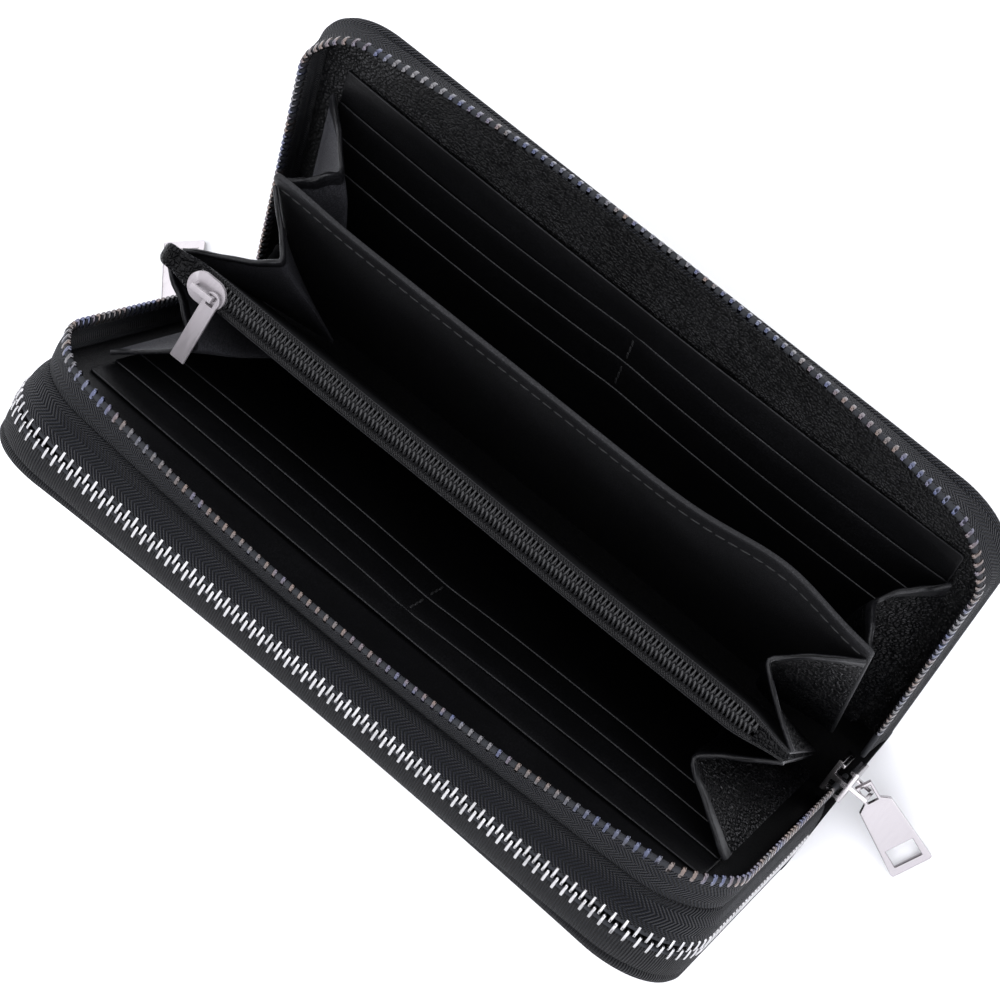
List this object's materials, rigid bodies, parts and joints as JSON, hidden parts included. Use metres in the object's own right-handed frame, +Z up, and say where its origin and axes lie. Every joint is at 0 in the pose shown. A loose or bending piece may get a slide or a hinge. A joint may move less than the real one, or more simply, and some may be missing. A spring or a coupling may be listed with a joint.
{
  "type": "long zip-around wallet",
  "caption": "Long black leather wallet with zip-round compartments, accordion note bays, card rows, a zipped coin pocket and a divider, standing half open.",
  "frame": {"origin": "centre of the bounding box's base, on the surface that the half-open wallet stands on", "axes": "+X along the long side towards the end with the unzipped slider, +Y towards the back cover, +Z up"},
  "size_m": [0.2434, 0.128, 0.1093],
  "materials": {
    "leather": "fine-grained black cowhide, satin",
    "lining_leather": "thin black split leather with glossy cut edges",
    "stiffener": "dark fibre board",
    "zip_tape": "herringbone-woven blue-black tape",
    "zip_teeth": "dark nickel plate with a slight tint",
    "nylon_coil": "black nylon",
    "bright_nickel": "polished nickel plate"
  },
  "bodies": {
    "root": {"spine_leather": "leather", "mid_board": "stiffener", "mid_lining_front": "lining_leather", "mid_lining_back": "lining_leather", "mid_slip_pocket": "lining_leather", "mid_card_row_1": "lining_leather", "mid_card_row_2": "lining_leather", "mid_card_row_3": "lining_leather", "zip_a_tape_mid": "zip_tape", "zip_a_teeth_mid": "zip_teeth", "zip_b_tape_mid": "zip_tape", "zip_b_teeth_mid": "zip_teeth"},
    "front_cover": {"front_leather": "leather", "front_board": "stiffener", "front_lining": "lining_leather", "front_inner_pocket": "lining_leather", "zip_a_tape_front": "zip_tape", "zip_a_teeth_front": "zip_teeth", "gusset_front_left": "lining_leather", "gusset_front_right": "lining_leather"},
    "coin_pocket": {"spine_strip_coin": "leather", "coin_front_panel": "leather", "coin_back_panel": "leather", "coin_seam_left": "leather", "coin_seam_right": "leather", "coin_zip_tape_front": "zip_tape", "coin_zip_tape_back": "zip_tape", "coin_coil_front": "nylon_coil", "coin_coil_back": "nylon_coil", "coin_zip_tab": "leather", "gusset_mid_left": "lining_leather", "gusset_mid_right": "lining_leather"},
    "divider": {"spine_strip_divider": "leather", "divider_board": "stiffener", "divider_leather": "leather", "gusset_coin_left": "lining_leather", "gusset_coin_right": "lining_leather"},
    "back_leaf": {"spine_strip_back": "leather", "back_leather": "leather", "back_board": "stiffener", "back_lining": "lining_leather", "back_slip_pocket": "lining_leather", "back_card_row_1": "lining_leather", "back_card_row_2": "lining_leather", "back_card_row_3": "lining_leather", "zip_b_tape_back": "zip_tape", "zip_b_teeth_back": "zip_teeth", "gusset_back_left": "lining_leather", "gusset_back_right": "lining_leather"},
    "slider_a": {"slider_a": "bright_nickel"},
    "slider_b": {"slider_b": "bright_nickel"},
    "pull_a": {"pull_a": "bright_nickel"},
    "pull_b": {"pull_b": "bright_nickel"},
    "coin_slider": {"coin_slider": "bright_nickel"},
    "coin_pull": {"coin_pull": "bright_nickel"}
  },
  "joints": [
    {"name": "fold_coin", "type": "hinge", "parent": "root", "child": "coin_pocket", "pos_m": [-0.00105, -0.01371, 0.00609], "axis": [-1, 0, 0], "range_deg": [-16.76, 5], "deforming": ["gusset_mid_left", "gusset_mid_right"]},
    {"name": "fold_divider", "type": "hinge", "parent": "coin_pocket", "child": "divider", "pos_m": [-0.00105, -0.00721, 0.006], "axis": [-1, 0, 0], "range_deg": [-16.76, 5], "deforming": ["gusset_coin_left", "gusset_coin_right"]},
    {"name": "fold_back", "type": "hinge", "parent": "divider", "child": "back_leaf", "pos_m": [-0.00105, -0.00158, 0.00422], "axis": [-1, 0, 0], "range_deg": [-16.76, 5], "deforming": ["gusset_back_left", "gusset_back_right"]},
    {"name": "front_cover_fold", "type": "hinge", "parent": "root", "child": "front_cover", "pos_m": [-0.00105, -0.03528, 0.00115], "axis": [1, 0, 0], "range_deg": [0, 30], "deforming": ["gusset_front_left", "gusset_front_right"]},
    {"name": "zip_a_slide", "type": "slide", "parent": "root", "child": "slider_a", "axis": [0, -0.2755, 0.9613], "range_m": [0, 0.068], "deforming": ["zip_a_teeth_mid", "zip_a_teeth_front"]},
    {"name": "zip_b_slide", "type": "slide", "parent": "root", "child": "slider_b", "axis": [0, -0.2755, 0.9613], "range_m": [0, 0.068], "deforming": ["zip_b_teeth_mid", "zip_b_teeth_back"]},
    {"name": "pull_a_swing", "type": "hinge", "parent": "slider_a", "child": "pull_a", "pos_m": [-0.10157, -0.02854, 0.01064], "axis": [0.766, 0.6428, 0], "range_deg": [0, 50]},
    {"name": "pull_b_swing", "type": "hinge", "parent": "slider_b", "child": "pull_b", "pos_m": [0.09908, -0.00654, 0.01593], "axis": [-0.4067, -0.9135, 0], "range_deg": [-6, 55]},
    {"name": "coin_zip_slide", "type": "slide", "parent": "coin_pocket", "child": "coin_slider", "axis": [1, 0, 0], "range_m": [0, 0.142], "deforming": ["coin_coil_front", "coin_coil_back"]},
    {"name": "coin_pull_swing", "type": "hinge", "parent": "coin_slider", "child": "coin_pull", "pos_m": [-0.07545, -0.00739, 0.09098], "axis": [0, -0.3589, 0.9334], "range_deg": [-30, 91]}
  ],
  "couplings": [
    {"joint": "fold_divider", "follows": "fold_coin", "ratio": 1},
    {"joint": "fold_back", "follows": "fold_coin", "ratio": 1},
    {"joint": "coin_pull_swing", "follows": "fold_coin", "ratio": -5.37}
  ]
}
